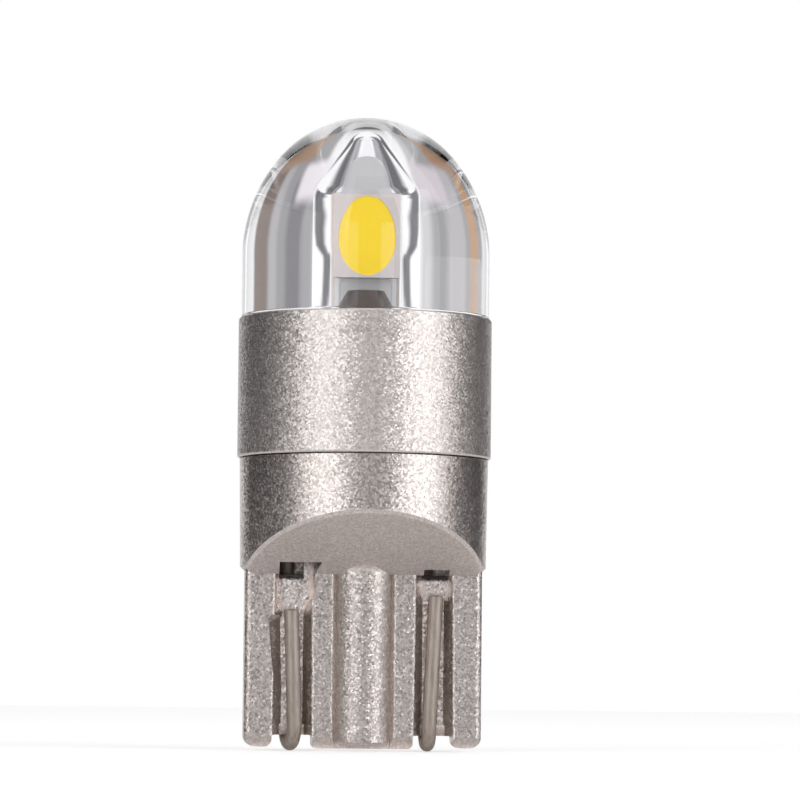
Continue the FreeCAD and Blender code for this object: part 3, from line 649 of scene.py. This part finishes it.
# Matte pale floor, lifted to white where the camera sees it, with the bulb's shadow kept.
pale_floor, tree, shader = new_material("pale_floor", Base_Color=linear("#f4f4f4"), Roughness=0.8,
                                        Emission_Color=(1, 1, 1, 1))
path = add_node(tree, "ShaderNodeLightPath")
lift = add_node(tree, "ShaderNodeMath", {"operation": "MULTIPLY"},
                _0=path.outputs["Is Glossy Ray"], _1=FLOOR_MIRRORED_LIFT)
lift = add_node(tree, "ShaderNodeMath", {"operation": "MULTIPLY_ADD"},
                _0=path.outputs["Is Camera Ray"], _1=FLOOR_SEEN_LIFT, _2=lift.outputs[0])
feed(shader, Emission_Strength=lift.outputs[0])
floor_points = np.array([(-1, -1, 0), (1, -1, 0), (1, 1, 0), (-1, 1, 0)]) * FLOOR_HALF_SIZE / MM
floor = link_mesh("floor", floor_points, [(0, 1, 2, 3)], pale_floor)
floor.visible_transmission = False
floor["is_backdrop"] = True


def toward(bearing, rise):
    """Unit arrow from the bulb, at a bearing from its front to its right and a height from level.

    Both are in degrees: x = sin b cos e, y = -cos b cos e, z = sin e.
    """
    turn = np.radians(bearing)
    lift = np.radians(rise)
    return np.stack([np.sin(turn) * np.cos(lift), -np.cos(turn) * np.cos(lift),
                     np.sin(lift) + 0 * turn], -1)


def sphere_patch(name, bearing, rise, distance, middle, material):
    """Patch of a sphere over rows of heights and columns of bearings: the arrow toward each point
    times the distance, from a middle on the bulb's axis. It lights nothing and casts no shadow.
    """
    rows = len(rise)
    columns = len(bearing)
    arrows = toward(bearing[None, :], rise[:, None]).reshape(-1, 3)
    points = arrows * distance + np.array([0, 0, middle])
    row, column = np.meshgrid(np.arange(rows - 1), np.arange(columns - 1), indexing="ij")
    corner = (row * columns + column).ravel()
    faces = np.stack([corner, corner + 1, corner + columns + 1, corner + columns], 1)
    piece = link_mesh(name, points / MM, faces.tolist(), material)
    piece.visible_camera = False
    piece.visible_diffuse = False
    piece.visible_shadow = False
    piece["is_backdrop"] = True
    return piece


def let_glow(tree, colour):
    """Put an even glow of this colour in place of a material's shader."""
    tree.nodes.remove(tree.nodes["Principled BSDF"])
    glow = add_node(tree, "ShaderNodeEmission", Color=colour)
    feed(tree.nodes["Material Output"], Surface=glow.outputs[0])


# Cards that show only in the metal: distance, bearings at left and right, heights, and colour.
for name, distance, left, right, low, high, colour in (
    ("front_card", 0.35, -19, 29, -10, 60, "#676668"),
    ("left_flag", 0.08, -146, -66, -8, 60, "#3b3a3d"),
    ("right_flag", 0.08, 82, 146, -8, 60, "#3f3e41"),
):
    material, tree, shader = new_material(name)
    let_glow(tree, linear(colour))
    card = sphere_patch(name, np.linspace(left, right, 17), np.linspace(low, high, 9), distance,
                        BULB_MIDDLE, material)
    card.visible_transmission = False


SURROUND_DISTANCE = 0.35
SURROUND_SIDE = 125
SURROUND_TOP = 70
SURROUND_COLUMNS = 251
SURROUND_ROWS = 281


def soft_window(value, low, high, edge):
    """One between two limits and nought outside; across an edge width s it runs as s^2 (3 - 2s)."""
    inside = np.clip(np.minimum(value - low, high - value) / edge + 0.5, 0, 1)
    return inside * inside * (3 - 2 * inside)


def wall_band(bearing, rise):
    """Shade in a band on each side, whose middle bearing and half width change with the height."""
    heights = [-12, -8, -5, -1, 3, 4.4, 5.2, 12, 20]
    middle = np.interp(rise, heights, [34, 36, 40, 38, 44, 60, 72, 76, 78])
    half = np.interp(rise, heights, [20, 24, 27, 24, 20, 13, 13, 17, 25])
    share = np.clip(1.5 - np.abs(np.abs(bearing) - middle) / half, 0, 1)
    return share * share * (3 - 2 * share)


def lens_surround(name, flags, wall_shade):
    """Sphere behind the lens, white but for soft flags, each between two bearings and two heights.

    Light that has been mirrored by the cavity's wall meets the band of that wall instead, which
    Light Path's Glossy Depth tells apart.
    """
    bearing = np.linspace(-SURROUND_SIDE, SURROUND_SIDE, SURROUND_COLUMNS)
    rise = np.linspace(-SURROUND_TOP, SURROUND_TOP, SURROUND_ROWS)
    across = bearing[None, :]
    up = rise[:, None]
    tone = np.ones((SURROUND_ROWS, SURROUND_COLUMNS, 4))
    for left, right, low, high, edge, colour in flags:
        share = soft_window(across, left, right, edge) * soft_window(up, low, high, 2 * edge)
        tone = tone * (1 - share[:, :, None]) + np.array(linear(colour)) * share[:, :, None]
    band = wall_band(across, up)[:, :, None]
    wall_tone = 1 - band + np.array(linear(wall_shade)) * band
    material, tree, shader = new_material(name)
    path = add_node(tree, "ShaderNodeLightPath")
    tint = add_node(tree, "ShaderNodeAttribute", {"attribute_name": "tone"})
    wall_tint = add_node(tree, "ShaderNodeAttribute", {"attribute_name": "wall_tone"})
    tint = add_node(tree, "ShaderNodeMix", {"data_type": "RGBA"}, _0=path.outputs["Glossy Depth"],
                    _6=tint.outputs["Color"], _7=wall_tint.outputs["Color"])
    let_glow(tree, tint.outputs[2])
    piece = sphere_patch(name, 180 - bearing, rise, SURROUND_DISTANCE, LENS_MIDDLE, material)
    for title, colours in (("tone", tone), ("wall_tone", wall_tone)):
        attribute = piece.data.attributes.new(title, "FLOAT_COLOR", "POINT")
        attribute.data.foreach_set("color", colours.reshape(-1).astype(np.float32))
    piece.visible_glossy = False


# Each flag gives its bearings from straight behind the bulb to its right, its heights from level
# and the width of its soft edge, all in degrees, and its colour.
lens_surround("lens_surround", (
    (19, 55, -70, 10, 3, "#a6a5a7"),
    (24, 31, -20, 10, 3, "#8a888b"),
    (36, 42, -30, 10, 3, "#bdbbbd"),
    (42, 55, -30, 10, 4, "#8d8078"),
    (28, 54, -70, -30, 4, "#b4977f"),
    (14, 29, -27, -11, 3, "#f6f1f5"),
    (73, 114, -70, 10, 3, "#918f9c"),
    (38, 114, 9, 70, 3, "#7c7b7e"),
    (-19, -14, -70, 10, 2, "#cccbcc"),
    (-56, -18, -70, 10, 3, "#adabac"),
    (-25, -19, -20, 10, 2, "#9b9a9c"),
    (-37, -27, -30, 10, 3, "#c4c2c4"),
    (-50, -41, -30, 6, 4, "#cda582"),
    (-56, -28, -70, -30, 4, "#b89479"),
    (-29, -14, -27, -11, 3, "#dcd5da"),
    (-114, -73, -70, 10, 3, "#918f9c"),
    (-114, -38, 9, 70, 3, "#7c7b7e"),
), wall_shade="#68666b")


def aim(piece, place, back, roll=0.0):
    """Set a lamp or camera at a place, looking against the arrow, rolled round its view."""
    piece.location = place
    piece.rotation_mode = "QUATERNION"
    turn = Quaternion((0, 0, 1), math.radians(roll))
    piece.rotation_quaternion = (-back).to_track_quat("-Z", "Y") @ turn
    bpy.context.scene.collection.objects.link(piece)


# Soft boxes: bearing, then width and power; all stand 22 degrees up, at the same distance.
for name, bearing, width, power in (
    ("soft_box_left", -38, 0.18, 0.175),
    ("soft_box_right", 51, 0.20, 0.235),
):
    lamp = bpy.data.lights.new(name, "AREA")
    lamp.shape = "RECTANGLE"
    lamp.size = width
    lamp.size_y = 0.26
    lamp.energy = power
    back = Vector(toward(bearing, 22))
    aim(bpy.data.objects.new(name, lamp), Vector((0, 0, BULB_MIDDLE)) + back * 0.3, back)

# ---- Camera ----
# The camera stands just above the floor, a little to the left, and looks up by four degrees, as
# the photograph does; the picture leans by half a degree.

CAMERA_BEARING = -3.5
CAMERA_RISE = -4.0
CAMERA_ROLL = 0.55
CAMERA_DISTANCE = 0.165
VIEW_MIDDLE_ACROSS = 1.40 * MM
VIEW_MIDDLE_HEIGHT = 13.83 * MM

camera_data = bpy.data.cameras.new("camera")
camera_data.lens = 188
camera_data.sensor_width = 36
camera_data.clip_start = 0.001
camera = bpy.data.objects.new("camera", camera_data)
back = Vector(toward(CAMERA_BEARING, CAMERA_RISE))
across = Vector(toward(CAMERA_BEARING + 90, 0))
view_middle = across * VIEW_MIDDLE_ACROSS + Vector((0, 0, VIEW_MIDDLE_HEIGHT))
aim(camera, view_middle + back * CAMERA_DISTANCE, back, CAMERA_ROLL)
bpy.context.scene.camera = camera
bpy.context.scene.view_settings.view_transform = "Standard"

low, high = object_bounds()
